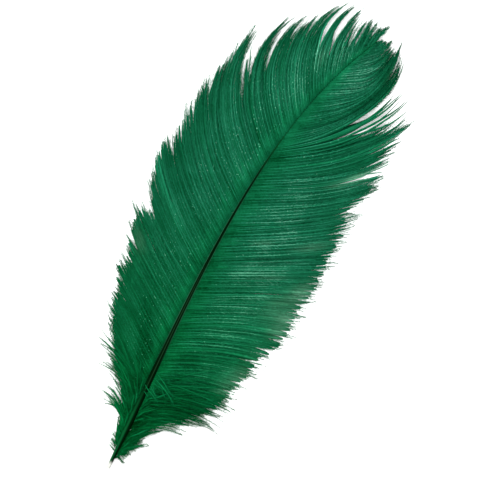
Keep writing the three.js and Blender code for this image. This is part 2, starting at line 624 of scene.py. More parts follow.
class FibreMesh:
    """Collects copies of the seeds and joins them in one mesh with its map and attributes."""

    STRAND_BAND = (0.04, 0.5)
    BARBULE_BAND = (0.58, 0.38)
    FIRST_BARBULE, LAST_BARBULE = 0.02, 0.995
    ROOT_OFF = 0.12
    RIDGE = 0.35
    SLOT_FILL = 0.8
    LOWEST = 0.09

    def __init__(self) -> None:
        """Starts with no copies."""
        self.points: list[Array] = []
        self.corners: list[Array] = []
        self.totals: list[Array] = []
        self.maps: list[Array] = []
        self.values: list[Array] = []
        self.count = 0

    def add(self, seed: Seed, points: Array, places: Array, values: Array) -> None:
        """Adds one copy of a seed for each row of points.

        Args:
            seed: The shape that is copied.
            points: The copies' vertices in mm, as (copies, vertices, 3).
            places: The copies' map coordinates, as (copies, corners, 2).
            values: Tone, distance from the ridge (by which the finish paints shade), painted glints and bareness at
                each vertex.
        """
        copies, size = points.shape[:2]
        points[..., 2] = np.maximum(points[..., 2], self.LOWEST)
        shift = (np.arange(copies) * size)[:, None] + self.count
        self.points.append(points.reshape(-1, 3))
        self.corners.append((seed.corners[None, :] + shift).ravel())
        self.totals.append(np.tile(seed.totals, copies))
        self.maps.append(places.reshape(-1, 2))
        self.values.append(values.reshape(-1, 4))
        self.count += copies * size

    def grow(
        self, strands: Strands, barb: Seed, barbule: Seed, style: BarbuleStyle, draw: np.random.Generator
    ) -> None:
        """Adds strands and their barbules.

        Args:
            strands: The barbs.
            barb: The seed of a barb.
            barbule: The seed of a barbule.
            style: How the barbules grow.
            draw: The source of chance.
        """
        frames = strands.frames()
        self._add_strands(strands, barb, frames)
        self._add_barbules(strands, barbule, style, frames, draw)

    def _add_strands(self, strands: Strands, seed: Seed, frames: tuple[Array, Array, Array]) -> None:
        """Sweeps the barb seed along every strand.

        Args:
            strands: The barbs.
            seed: The seed of a barb.
            frames: The directions along, across and out of each barb at its samples.
        """
        count = len(strands.centre)
        _, across, out = frames
        share = np.broadcast_to(seed.points[:, 1], (count, len(seed.points)))
        side = take(across, share) * (take(strands.width, share) * seed.points[:, 0])[..., None]
        rise = take(out, share) * (take(strands.depth, share) * seed.points[:, 2])[..., None]
        points = take(strands.centre, share) + side + rise
        # The distance from the ridge, by which the finish paints shade towards the strand's edges.
        edge = np.broadcast_to(np.abs(seed.points[:, 0]) * 2, share.shape)
        glint = take(strands.glint, share)
        values = np.stack([take(strands.tone, share), edge, glint, take(strands.bare, share)], -1)
        low, high = self.STRAND_BAND
        band = (np.arange(count)[:, None] + low + high * seed.around[None, :]) / count
        places = np.stack([np.broadcast_to(seed.along, band.shape), band], -1)
        self.add(seed, points, places, values)

    def _add_barbules(
        self,
        strands: Strands,
        seed: Seed,
        style: BarbuleStyle,
        frames: tuple[Array, Array, Array],
        draw: np.random.Generator,
    ) -> None:
        """Grows barbules from both edges of every strand.

        Args:
            strands: The barbs.
            seed: The seed of a barbule.
            style: How the barbules grow.
            frames: The directions along, across and out of each barb at its samples.
            draw: The source of chance.
        """
        lengths = strands.lengths()
        most = int(np.ceil(lengths.max() * style.per_mm))
        count = len(lengths)
        shape = (count, most)
        share = (np.arange(most)[None, :] + draw.random(shape)) / most
        share = mix(self.FIRST_BARBULE, self.LAST_BARBULE, share)
        kept = (draw.random(shape) < (strands.fluff * lengths / lengths.max())[:, None]).ravel()
        along, across, out = (unit(take(f, share)) for f in frames)
        side = np.where(draw.random(shape) < 0.5, -1.0, 1.0)
        near, far, tip = style.opening
        opening = mix(mix(near, far, share), tip, smooth(share, 0.75, 1.0))
        angle = np.radians(style.angle * opening + draw.normal(0, style.spread, shape))
        lift = np.radians(draw.normal(0, style.lift, shape))
        fan = along * np.cos(angle)[..., None] + across * (side * np.sin(angle))[..., None]
        direction = unit(fan * np.cos(lift)[..., None] + out * np.sin(lift)[..., None])
        taper = mix(style.root_share, 1.0, smooth(share, 0, 0.2))
        taper = taper * mix(1.0, style.tip_share, smooth(share, 0.78, 1.0))
        size = style.length * taper * draw.uniform(*style.sizes, shape)
        size = size * mix(style.sparse_size, 1.0, strands.fluff)[:, None]
        off = side * take(strands.width, share) * self.ROOT_OFF
        root = take(strands.centre, share) + across * off[..., None]
        flat = unit(np.cross(direction, out))
        up = np.cross(flat, direction)
        tone = take(strands.tone, share) + draw.normal(style.tone, style.tone_spread, shape)
        tone = tone - style.root_shade * (1 - smooth(share, 0.0, 0.3))
        band = self._barbule_places(share, count, most, seed)[kept]
        root, direction, flat, up = (a.reshape(-1, 1, 3)[kept] for a in (root, direction, flat, up))
        size, tone, bare = (a.reshape(-1, 1)[kept] for a in (size, tone, take(strands.bare, share)))
        x, y, z = seed.points.T
        points = (
            root
            + direction * (size * y)[..., None]
            + flat * (style.width * x)[None, :, None]
            + up * (style.width * style.thickness * z)[None, :, None]
        )
        # The barbules' distance from the ridge rises to their tips, where the finish paints them darker as shade.
        edge = self.RIDGE + (1.0 - self.RIDGE) * y[None, :]
        values = np.stack(np.broadcast_arrays(tone, edge, 0.0, bare), -1)
        self.add(seed, points, band, values)

    def _barbule_places(self, share: Array, count: int, most: int, seed: Seed) -> Array:
        """Gives every barbule its own narrow slot of the map, in its barb's band.

        Args:
            share: Where on its barb each barbule grows.
            count: How many barbs there are.
            most: How many barbules a barb may have.
            seed: The seed of a barbule.

        Returns:
            The map coordinates of every barbule's corners.
        """
        low, high = self.BARBULE_BAND
        slot = share[..., None] + (seed.around[None, None, :] - 0.5) * self.SLOT_FILL / most
        band = (np.arange(count)[:, None, None] + low + high * seed.along[None, None, :]) / count
        places = np.stack([np.clip(slot, 0, 1), np.broadcast_to(band, slot.shape)], -1)
        return places.reshape(count * most, -1, 2)

    def build(self, name: str, shift: Array, material: bpy.types.Material) -> bpy.types.Object:
        """Makes the joined mesh and its object.

        Args:
            name: The piece's name.
            shift: What is added to the points, in mm, to bring them to the row frame.
            material: The piece's material.

        Returns:
            The new object.
        """
        points = (np.concatenate(self.points) + shift) * MM
        corners = np.concatenate(self.corners).astype(np.int32)
        totals = np.concatenate(self.totals)
        mesh = bpy.data.meshes.new(name)
        mesh.vertices.add(len(points))
        mesh.vertices.foreach_set("co", points.astype(np.float32).ravel())
        mesh.loops.add(len(corners))
        mesh.loops.foreach_set("vertex_index", corners)
        mesh.polygons.add(len(totals))
        mesh.polygons.foreach_set("loop_start", np.r_[0, np.cumsum(totals)[:-1]].astype(np.int32))
        mesh.polygons.foreach_set("use_smooth", np.ones(len(totals), bool))
        layer = mesh.uv_layers.new(name="OFBake")
        layer.data.foreach_set("uv", np.concatenate(self.maps).astype(np.float32).ravel())
        store(mesh, dict(zip(("tone", "edge", "glint", "bare"), np.concatenate(self.values).T)))
        mesh.update(calc_edges=True)
        mesh.validate()
        mesh.materials.append(material)
        return linked(name, mesh)


# ---- Materials ----


class NodeTree:
    """A new material and short ways to add the nodes that the finishes share."""

    def __init__(self, name: str) -> None:
        """Starts a material.

        Args:
            name: The material's name.
        """
        self.material = bpy.data.materials.new(name)
        self.material.use_nodes = True
        self.nodes = self.material.node_tree.nodes
        self.inputs = self.nodes["Principled BSDF"].inputs

    def join(self, value: object, socket: bpy.types.NodeSocket) -> None:
        """Feeds a socket.

        Args:
            value: Another node's output, a colour or a number.
            socket: The socket that takes it.
        """
        if isinstance(value, bpy.types.NodeSocket):
            self.material.node_tree.links.new(value, socket)
        else:
            socket.default_value = (*value, 1.0) if isinstance(value, tuple) else value

    def attribute(self, title: str) -> bpy.types.NodeSocket:
        """Reads one of the mesh's own attributes.

        Args:
            title: The attribute's name.

        Returns:
            Its value.
        """
        node = self.nodes.new("ShaderNodeAttribute")
        node.attribute_name = title
        return node.outputs["Fac"]

    def noise(self, scale: float, detail: float) -> bpy.types.NodeSocket:
        """Adds noise in the object's own coordinates.

        Args:
            scale: How many features there are to a metre, about.
            detail: How many finer layers it has.

        Returns:
            The noise, around 0.5.
        """
        node = self.nodes.new("ShaderNodeTexNoise")
        node.inputs["Scale"].default_value = scale
        node.inputs["Detail"].default_value = detail
        self.join(self.nodes.new("ShaderNodeTexCoord").outputs["Object"], node.inputs["Vector"])
        return node.outputs[0]

    def maths(self, operation: str, a: object, b: object) -> bpy.types.NodeSocket:
        """Works out one sum.

        Args:
            operation: The sum's name.
            a: The first term.
            b: The second term.

        Returns:
            The result.
        """
        node = self.nodes.new("ShaderNodeMath")
        node.operation = operation
        self.join(a, node.inputs[0])
        self.join(b, node.inputs[1])
        return node.outputs[0]

    def along(self, axis: str, start: float, end: float) -> bpy.types.NodeSocket:
        """Rises from 0 to 1 between two places on one of the object's own axes.

        Args:
            axis: X, Y or Z.
            start: Where the rise starts, in metres.
            end: Where it ends.

        Returns:
            The share of the rise.
        """
        split = self.nodes.new("ShaderNodeSeparateXYZ")
        self.join(self.nodes.new("ShaderNodeTexCoord").outputs["Object"], split.inputs[0])
        node = self.nodes.new("ShaderNodeMapRange")
        node.inputs["From Min"].default_value = start
        node.inputs["From Max"].default_value = end
        self.join(split.outputs[axis], node.inputs["Value"])
        return node.outputs["Result"]

    def shaken(self, value: object, noise: object, amount: float) -> bpy.types.NodeSocket:
        """Adds noise to a value, up and down alike.

        Args:
            value: The value.
            noise: Noise around 0.5.
            amount: How much a noise of 1 in place of 0 changes the value.

        Returns:
            The shaken value.
        """
        return self.maths("ADD", value, self.maths("MULTIPLY", self.maths("SUBTRACT", noise, 0.5), amount))

    def blend(self, share: object, a: object, b: object, kind: str = "MIX") -> bpy.types.NodeSocket:
        """Blends two colours.

        Args:
            share: How much of the second is wanted.
            a: The first colour.
            b: The second colour.
            kind: How they blend, MIX or MULTIPLY.

        Returns:
            The blend.
        """
        node = self.nodes.new("ShaderNodeMix")
        node.data_type = "RGBA"
        node.blend_type = kind
        self.join(share, node.inputs["Factor"])
        self.join(a, node.inputs["A"])
        self.join(b, node.inputs["B"])
        return node.outputs["Result"]

    def ramp(self, value: object, stops: Sequence[tuple[float, Colour]]) -> bpy.types.NodeSocket:
        """Turns a value into a colour.

        Args:
            value: The value.
            stops: The colours and the values that they stand at.

        Returns:
            The colour.
        """
        node = self.nodes.new("ShaderNodeValToRGB")
        while len(node.color_ramp.elements) < len(stops):
            node.color_ramp.elements.new(0.5)
        for element, (position, colour) in zip(node.color_ramp.elements, stops):
            element.position = position
            element.color = (*colour, 1.0)
        self.join(value, node.inputs["Fac"])
        return node.outputs["Color"]


@dataclass(frozen=True)
class FibreFinish:
    """Barbs in green dye, with painted shade in their gaps and away from their ridges, painted highlights on the
    ridges and as glints, and undyed thin ends.

    Scales are in features to a metre, about. The base is where the tint starts and is full, in metres along Y.
    """

    name: str
    deep: Colour = (0.0003, 0.034, 0.009)
    middle: Colour = (0.0042, 0.126, 0.050)
    light: Colour = (0.0155, 0.212, 0.108)
    pale: Colour = (0.15, 0.50, 0.33)
    undyed: Colour = (0.17, 0.42, 0.27)
    base_tint: Colour = (0.30, 0.96, 0.60)
    base: Pair = (0.01, -0.12)
    middle_at: float = 0.42
    light_at: float = 0.78
    roughness: float = 0.5
    specular: float = 0.0
    mottle: float = 0.36
    mottle_scale: float = 75.0
    fine: float = 0.30
    fine_scale: float = 900.0
    # How much painted shade darkens the strands away from their ridges and towards the barbule tips.
    edge: float = 0.10
    # Painted glints: their strength, threshold and scale.
    spark: float = 16.0
    spark_from: float = 0.725
    spark_scale: float = 1100.0

    def material(self) -> bpy.types.Material:
        """Makes the material, which reads the fibres' own attributes.

        Returns:
            The material.
        """
        tree = NodeTree(self.name)
        tree.inputs["Roughness"].default_value = self.roughness
        tree.inputs["Specular IOR Level"].default_value = self.specular
        tone = tree.shaken(tree.attribute("tone"), tree.noise(self.mottle_scale, 3.0), self.mottle)
        tone = tree.shaken(tone, tree.noise(self.fine_scale, 2.0), self.fine)
        # Painted shade: the tone darkens away from each strand's ridge and towards the barbule tips.
        edge = tree.attribute("edge")
        tone = tree.maths("SUBTRACT", tone, tree.maths("MULTIPLY", edge, self.edge))
        # Painted glints: bright specks in the tone, standing in for highlights, where the glint attribute lets them.
        speck = tree.noise(self.spark_scale, 0.0)
        spark = tree.maths("MAXIMUM", tree.maths("SUBTRACT", speck, self.spark_from), 0.0)
        spark = tree.maths("MULTIPLY", tree.maths("MULTIPLY", spark, self.spark), tree.attribute("glint"))
        tone = tree.maths("ADD", tone, spark)
        middle, light = (self.middle_at, self.middle), (self.light_at, self.light)
        dyed = tree.ramp(tone, ((0.0, self.deep), middle, light, (1.0, self.pale)))
        dyed = tree.blend(tree.along("Y", *self.base), dyed, self.base_tint, "MULTIPLY")
        tree.join(tree.blend(tree.attribute("bare"), dyed, self.undyed), tree.inputs["Base Color"])
        return tree.material


@dataclass(frozen=True)
class HornFinish:
    """The shaft's horn: nearly black green, green with dye towards the tip, brown in the groove, grey at its sides,
    pale where it is cut.

    On the quill the side towards the light is painted green and the far side black, as painted light and shade.
    The brown groove line is partly undyed horn and partly a painted highlight. The streaks shake the dye and the
    painted light and shade, and the roughness, and raise the surface a little. Their depth is in metres.
    """

    name: str
    black: Colour = (0.0002, 0.0065, 0.0012)
    green: Colour = (0.0022, 0.060, 0.016)
    brown: Colour = (0.014, 0.044, 0.018)
    grey: Colour = (0.022, 0.125, 0.060)
    pale: Colour = (0.62, 0.63, 0.58)
    specular: float = 0.002
    roughness: float = 0.42
    streak_scale: float = 260.0
    streak_dye: float = 0.2
    streak_roughness: float = 0.25
    streak_depth: float = 0.00008

    def material(self) -> bpy.types.Material:
        """Makes the material, which reads the shaft's own attributes.

        Returns:
            The material.
        """
        tree = NodeTree(self.name)
        tree.inputs["Specular IOR Level"].default_value = self.specular
        streaks = tree.noise(self.streak_scale, 4.0)
        # This value mixes the horn's dye with the painted light and shade on the quill's two sides.
        dyed = tree.shaken(tree.attribute("dyed"), streaks, self.streak_dye)
        horn = tree.blend(dyed, self.black, self.green)
        horn = tree.blend(tree.attribute("rim"), horn, self.grey)
        # The groove's brown line: partly undyed horn, partly a painted highlight.
        horn = tree.blend(tree.attribute("groove"), horn, self.brown)
        horn = tree.blend(tree.attribute("cut"), horn, self.pale)
        tree.join(horn, tree.inputs["Base Color"])
        tree.join(tree.shaken(self.roughness, streaks, self.streak_roughness), tree.inputs["Roughness"])
        bump = tree.nodes.new("ShaderNodeBump")
        bump.inputs["Distance"].default_value = self.streak_depth
        bump.inputs["Strength"].default_value = 0.5
        tree.join(streaks, bump.inputs["Height"])
        tree.join(bump.outputs["Normal"], tree.inputs["Normal"])
        return tree.material


# ---- The shaft ----


@dataclass
class Shaft:
    """The quill and rachis: one rod, hollow at its cut end, with a groove along its upper face.

    Lengths are in mm. Pairs are the stations between which a look or a shape comes in or fades.
    """

    line: ShaftLine = field(default_factory=ShaftLine)
    sides: int = 32
    steps: int = 120
    bore_share: float = 0.6
    bore_depth: float = 9.0
    depth_share: float = 0.92
    groove_opens: Pair = (44.0, 62.0)
    groove_depth: float = 0.24
    groove_half_angle: float = math.radians(11)
    brown_ends: Pair = (105, 140)
    rim_starts: Pair = (60, 100)
    rim_widens: Pair = (100, 180)
    grey_tip: Pair = (205, 255)
    cut_ends: Pair = (2.5, 5.0)
    # Stations where the quill's painted lit side fades.
    green_base: Pair = (30, 60)
    green_tip: Pair = (180, 230)
    end_round: float = 2.5
    end_share: float = 0.35
    crease: float = math.radians(50)
    shift: Array = field(default_factory=lambda: np.zeros(3))

    def rod(self) -> bpy.types.Object:
        """Models the rod straight, with a unit radius, its stations along Z and the bore at its low end.

        Returns:
            The rod's object.
        """
        length = self.line.length()
        bpy.ops.object.select_all(action="DESELECT")
        bpy.ops.mesh.primitive_cylinder_add(
            vertices=self.sides, radius=1.0, depth=length, location=(0, 0, length / 2)
        )
        obj = settle()
        bpy.ops.object.mode_set(mode="EDIT")
        for step in range(1, self.steps):
            bpy.ops.mesh.select_all(action="SELECT")
            bpy.ops.mesh.bisect(plane_co=(0, 0, length * step / self.steps), plane_no=(0, 0, 1))
        pick(obj, "FACE", lambda f: f.normal.z < -0.9)
        bpy.ops.mesh.inset(thickness=1.0 - self.bore_share, depth=0)
        bpy.ops.mesh.extrude_region_move(TRANSFORM_OT_translate={"value": (0, 0, self.bore_depth * 0.6)})
        bpy.ops.mesh.extrude_region_move(TRANSFORM_OT_translate={"value": (0, 0, self.bore_depth * 0.4)})
        bpy.ops.transform.resize(value=(0.5, 0.5, 1.0))
        bpy.ops.object.mode_set(mode="OBJECT")
        return obj

    def place(self, local: Array) -> tuple[Array, Array]:
        """Bends the straight rod's points onto the shaft's line.

        Args:
            local: The rod's points: X and Y across it in radii, and the station along Z.

        Returns:
            The points in mm, and how deep in the groove each one is.
        """
        x, z = local[:, 0], local[:, 1]
        station = np.clip(local[:, 2], 0, self.line.length())
        centre, run, right = self.line.at(station)
        up = np.cross(right, run)
        from_top = np.abs(np.arctan2(x, z))
        length = self.line.length()
        outside = np.hypot(x, z) > 0.9
        profile = np.clip(1.2 * (1 - from_top / self.groove_half_angle), 0, 1)
        groove = smooth(station, *self.groove_opens) * profile * outside
        radius = self.line.width(station) / 2 * (1 - self.groove_depth * groove)
        radius = radius * (1 - self.end_share * smooth(station, length - self.end_round, length))
        points = centre + right * (x * radius)[:, None] + up * (z * radius * self.depth_share)[:, None]
        return points, groove

    def looks(self, local: Array, groove: Array) -> dict[str, Array]:
        """Says how each point of the rod looks.

        Args:
            local: The straight rod's points.
            groove: How deep in the groove each one is.

        Returns:
            The values that the horn's finish reads, by their names.
        """
        x, z, station = local.T
        inside = np.hypot(x, z) < 0.7
        from_top = np.abs(np.arctan2(x, z))
        lit = smooth(-x + 0.3 * z, 0.05, 0.65)
        rim = smooth(from_top + 0.1 * smooth(station, *self.rim_widens), 0.62, 0.95)
        pale = np.where(inside, 0.6, 0.95 - 0.6 * smooth(from_top, 0.7, 1.2))
        return {
            # The brown groove line is partly undyed horn and partly a painted highlight.
            "groove": groove * (1 - smooth(station, *self.brown_ends)),
            "rim": np.maximum(rim * smooth(station, *self.rim_starts), 0.2 * smooth(station, *self.grey_tip)),
            "cut": np.maximum(1 - smooth(station, *self.cut_ends), inside * 1.0) * pale,
            # On the quill the side towards the light is painted green and the far side black, as painted light and
            # shade; towards the tip the green is the dye.
            "dyed": np.maximum((1 - smooth(station, *self.green_base)) * lit, smooth(station, *self.green_tip)),
        }

    def build(self, finish: HornFinish) -> bpy.types.Object:
        """Makes the shaft in its own place in the row frame, and keeps the shift from its line to that place.

        Args:
            finish: The horn's finish.

        Returns:
            The shaft's object.
        """
        obj = self.rod()
        mesh = obj.data
        local = numbers(mesh.vertices, "co", 3)
        points, groove = self.place(local)
        low, high = (np.array(c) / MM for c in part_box("shaft"))
        self.shift = (low + high) / 2 - (points.min(0) + points.max(0)) / 2
        self.shift[2] = high[2] - points[:, 2].max()
        mesh.vertices.foreach_set("co", ((points + self.shift) * MM).astype(np.float32).ravel())
        store(mesh, self.looks(local, groove))
        mesh.update()
        only(obj)
        bpy.ops.object.mode_set(mode="EDIT")
        bpy.ops.mesh.select_all(action="SELECT")
        bpy.ops.mesh.normals_make_consistent(inside=False)
        bpy.ops.object.mode_set(mode="OBJECT")
        bpy.ops.object.shade_smooth_by_angle(angle=self.crease)
        obj.name = mesh.name = "quill_and_rachis"
        mesh.materials.clear()
        mesh.materials.append(finish.material())
        return obj


# ---- The webs ----


@dataclass(frozen=True)
class Parting:
    """A place where a web has parted: the station it starts from, how far out, and how wide it opens.

    The barbs beyond it give way by a share of what the barbs before it do.
    """

    station: float
    start: float
    gap: float
    reach: float = 5.0
    beyond: float = 1.0


@dataclass(frozen=True)
class Stray:
    """A few fine barbs that pass the edge of a web: where they grow and the share of the length they get to."""

    station: float
    reach: float
    count: int = 1
    drift: float = 0.0


@dataclass(frozen=True)
class Patch:
    """A soft place on a web: a tone patch is painted light where it is lighter and painted shade where it is darker;
    a bare patch has less dye.
    """

    station: float
    share: float
    station_reach: float
    share_reach: float
    amount: float


def patched(patches: Sequence[Patch], station: Array, share: Array) -> Array:
    """Adds up soft patches.

    Args:
        patches: The patches of one web.
        station: The stations to read, in mm.
        share: The shares of the barbs' length to read.

    Returns:
        The sum of the patches at each place.
    """
    total = np.zeros(np.broadcast(station, share).shape)
    for p in patches:
        away = ((station - p.station) / p.station_reach) ** 2 + ((share - p.share) / p.share_reach) ** 2
        total += p.amount * np.exp(-away)
    return total


@dataclass
class Groups:
    """Neighbouring barbs that lie together: each barb's group, and where the barb is in it, from -1 to 1."""

    index: Array
    off: Array
    half: Array
    count: int

    @classmethod
    def drawn(
        cls, draw: np.random.Generator, station: Array, size: Pair, fixed: Sequence[float] = ()
    ) -> "Groups":
        """Cuts a run of barbs into groups.

        Args:
            draw: The source of chance.
            station: The barbs' stations.
            size: The least and the most width of a group, in mm.
            fixed: Stations where a new group begins in any case.

        Returns:
            The groups.
        """
        low, high = size
        edges = [station.min() - 1.0]
        while edges[-1] < station.max() + 1.0:
            step = draw.uniform(low, high)
            ahead = [f for f in sorted(fixed) if edges[-1] + low * 0.6 < f < edges[-1] + step + low * 0.5]
            edges.append(ahead[0] if ahead else edges[-1] + step)
        edges = np.array(edges)
        index = np.clip(np.searchsorted(edges, station) - 1, 0, len(edges) - 2)
        half = (edges[1:] - edges[:-1])[index] / 2
        off = (station - (edges[1:] + edges[:-1])[index] / 2) / half
        return cls(index, off, half, len(edges) - 1)

    def habit(self, values: Array) -> Array:
        """Hands each barb its group's value.

        Args:
            values: One value for each group.

        Returns:
            The values, one for each barb, as a column.
        """
        return values[self.index][:, None]

    def drawn_habit(self, draw: np.random.Generator, spread: float) -> Array:
        """Draws a value for each group, around 0, and hands each barb its own.

        Args:
            draw: The source of chance.
            spread: The spread of the values.

        Returns:
            The values, one for each barb, as a column.
        """
        return self.habit(draw.normal(0, spread, self.count))


@dataclass(frozen=True)
class WebPlan:
    """What is particular to one web."""

    side: Side
    guides: Sequence[Guide]
    outline: Profile
    partings: Sequence[Parting]
    strays: Sequence[Stray]
    # The tone patches are painted light and shade; the bare patches have less dye.
    tones: Sequence[Patch]
    bares: Sequence[Patch]
    thinned: Sequence[tuple[float, float, float]]
    ragged: float
    # How much painted glint the web's barbs carry.
    glint: float
    seed: int


@dataclass
class Barbs:
    """The barbs of one web before they are laid out: where each grows, of which kind it is and with which it lies."""

    station: Array
    below: Array
    loose: Array
    thin: Array
    ridge: Array
    locks: Groups
    clumps: Groups
    strays: Array


@dataclass
class Web:
    """The long barbs on one side of the shaft: fine ones above, broad ones below them, and loose strays.

    Lengths are in mm. A profile runs over the shares of a barb's length. A pair is a range that chance draws from,
    or the stations or lengths between which something comes in.
    """

    plan: WebPlan
    shaft: ShaftLine
    first: float = 37.0
    last: float = 291.5
    spacing: float = 1.0
    below_spacing: float = 1.3
    samples: int = 15
    jitter: float = 0.18
    stray_jitter: float = 0.7
    stray_reach: Pair = (0.95, 1.0)
    thin_share: float = 0.06
    thin_width: float = 0.75
    thin_bend: float = 1.5
    lock_size: Pair = (3.5, 9.0)
    clump_size: Pair = (2.2, 5.2)
    tuft_size: Pair = (2.0, 5.5)
    tuft_reach: float = 0.10
    lock_reach: float = 0.014
    bend: float = 0.22
    lean: float = 0.35
    clump_pull: Pair = (0.0, 0.24)
    lock_pull: Pair = (0.05, 0.4)
    lock_starts: Pair = (0.68, 0.92)
    lock_lean: float = 0.6
    firm: Pair = (120, 190)
    full_grown: Pair = (8, 40)
    limp: Pair = (140, 210)
    filled: Pair = (190, 220)
    fill: float = 0.5
    broad: float = 0.46
    below_broad: float = 2.3
    widths: Pair = (0.85, 1.15)
    depths: Pair = (0.8, 1.2)
    taper: Profile = ((0, 0.8), (0.08, 0.9), (0.35, 1.0), (0.7, 0.8), (0.88, 0.5), (1.0, 0.15))
    mat: Profile = ((0, 1.0), (0.85, 1.0), (1.0, 0.35))
    limp_mat: Profile = ((0, 1.0), (0.1, 1.0), (0.65, 0.9), (1.0, 0.08))
    thickness: Profile = ((0, 0.42), (0.3, 0.28), (1.0, 0.12))
    root_lift: float = 0.25
    root_lift_share: float = 0.12
    below_high: float = -0.35
    thin_high: float = 0.6
    ridge_high: float = 0.3
    lock_high: float = 0.2
    clump_high: float = 0.1
    arch: float = 0.6
    layer: float = 0.3
    landing: float = 1.2
    tip_drop: float = 0.5
    lowest: float = 0.27
    roll: float = 0.10
    below_roll: float = 0.4
    tone: float = 0.572
    ripples: Profile = ((17.0, 0.026), (9.0, 0.022), (5.5, 0.018))
    ridge_highlight: Pair = (0.12, 0.30)
    plain_tone: Pair = (-0.08, 0.02)
    lightest: Pair = (0.8, 0.92)
    below_fluff: float = 0.10
    lone_fluff: float = 0.12
    loose_fluff: float = 0.35

    def strands(self) -> tuple[Strands, Array]:
        """Lays out every barb of the web.

        Returns:
            The strands, and the station of each.
        """
        draw = np.random.default_rng(self.plan.seed)
        paths = BarbField(self.shaft, self.plan.side, self.plan.guides)
        barbs = self._gather(draw)
        column = (len(barbs.station), 1)
        share = np.linspace(0, 1, self.samples)
        at = share[None, :]
        long = self._reach(draw, barbs)
        along = at * long[:, None]
        follows = self._follows(draw, barbs, share)
        flat = paths.place(follows, along)
        fan = self._fan(paths, follows, along, flat)
        full = smooth(paths.length(barbs.station) * long, *self.full_grown)[:, None]
        height = self._height(draw, barbs, full, at)
        lone = self._lone(barbs.station, at)
        width = self._width(draw, barbs, fan, full, lone, share)
        depth = read(self.thickness, share)[None, :] * draw.uniform(*self.depths, column)
        roll = self._roll(draw, barbs, share)
        tone = self._tone(draw, barbs, at)
        bare = patched(self.plan.bares, barbs.station[:, None], along) * draw.uniform(0.7, 1.2, column)
        # Painted glints: where each upper barb may carry painted highlight specks.
        glint = smooth(at, 0.06, 0.16) * (1 - smooth(at, 0.42, 0.62)) * draw.uniform(0, 1, column)
        fluff = np.where(barbs.below, self.below_fluff, mix(1.0, self.lone_fluff, lone.max(1)))
        fluff = fluff * np.where(barbs.loose, self.loose_fluff, 1.0)
        centre = np.concatenate([flat, height[..., None]], -1)
        bare, glint = np.clip(bare, 0, 1), glint * self.plan.glint
        return Strands(centre, roll, width, depth, tone, bare, glint, fluff), barbs.station

    def _gather(self, draw: np.random.Generator) -> Barbs:
        """Decides where barbs grow, and of which kind each one is.

        Args:
            draw: The source of chance.

        Returns:
            The barbs: those above, those below and the strays.
        """
        above, below = (np.arange(self.first, self.last, gap) for gap in (self.spacing, self.below_spacing))
        strays = np.array([(s.station, s.reach, s.drift) for s in self.plan.strays for _ in range(s.count)])
        strays[:, 0] += draw.uniform(-self.stray_jitter, self.stray_jitter, len(strays))
        station = np.r_[above, below, strays[:, 0]]
        laid = len(above) + len(below)
        station[:laid] += draw.uniform(-self.jitter, self.jitter, laid)
        index = np.arange(len(station))
        is_loose = index >= laid
        is_below = (index >= len(above)) & ~is_loose
        thin = is_loose | (~is_below & (draw.random(len(station)) < self.thin_share))
        ridge = (index % 2 == 0) & ~is_below
        locks = Groups.drawn(draw, station, self.lock_size, [p.station for p in self.plan.partings])
        clumps = Groups.drawn(draw, station, self.clump_size)
        return Barbs(station, is_below, is_loose, thin, ridge, locks, clumps, strays)

    def _reach(self, draw: np.random.Generator, barbs: Barbs) -> Array:
        """How far each barb reaches: to the web's outline, with small tufts that pass it.

        Args:
            draw: The source of chance.
            barbs: The barbs.

        Returns:
            The shares of the guide barbs' length.
        """
        station, above = barbs.station, ~barbs.below
        ragged = self.plan.ragged
        tufts = Groups.drawn(draw, station, self.tuft_size)
        passing = draw.uniform(0.25, 1.0, tufts.count) * (draw.random(tufts.count) < 0.5)
        point = np.clip(1.0 - np.abs(tufts.off) * 1.1, 0, 1) ** 0.8
        reach = read(self.plan.outline, station)
        reach = reach + self.tuft_reach * ragged * tufts.habit(passing)[:, 0] * point * above
        reach = reach + barbs.locks.drawn_habit(draw, self.lock_reach * ragged)[:, 0]
        own = draw.normal(0, 0.018 + 0.03 * smooth(station, 195, 240), len(station))
        short = 0.03 + 0.09 * smooth(station, 225, 265)
        reach = reach + own * mix(0.5, 1.0, above) - short * ~above
        reach[barbs.loose] = barbs.strays[:, 1] * draw.uniform(*self.stray_reach, len(barbs.strays))
        return reach

    def _follows(self, draw: np.random.Generator, barbs: Barbs, share: Array) -> Array:
        """Which station's plan each barb follows along its length.

        Args:
            draw: The source of chance.
            barbs: The barbs.
            share: The shares of the length.

        Returns:
            The stations in mm, as (barbs, samples).
        """
        at = share[None, :]
        follows = barbs.station[:, None] + self._drift(draw, barbs, at) * ~barbs.loose[:, None]
        follows[barbs.loose] += barbs.strays[:, 2:3] * at**2
        bends = waves(draw, len(follows), share, self.bend) * (0.3 + at)
        leans = draw.normal(0, self.lean, (len(follows), 1)) * at
        return follows + (bends + leans) * (1 + self.thin_bend * barbs.thin[:, None])

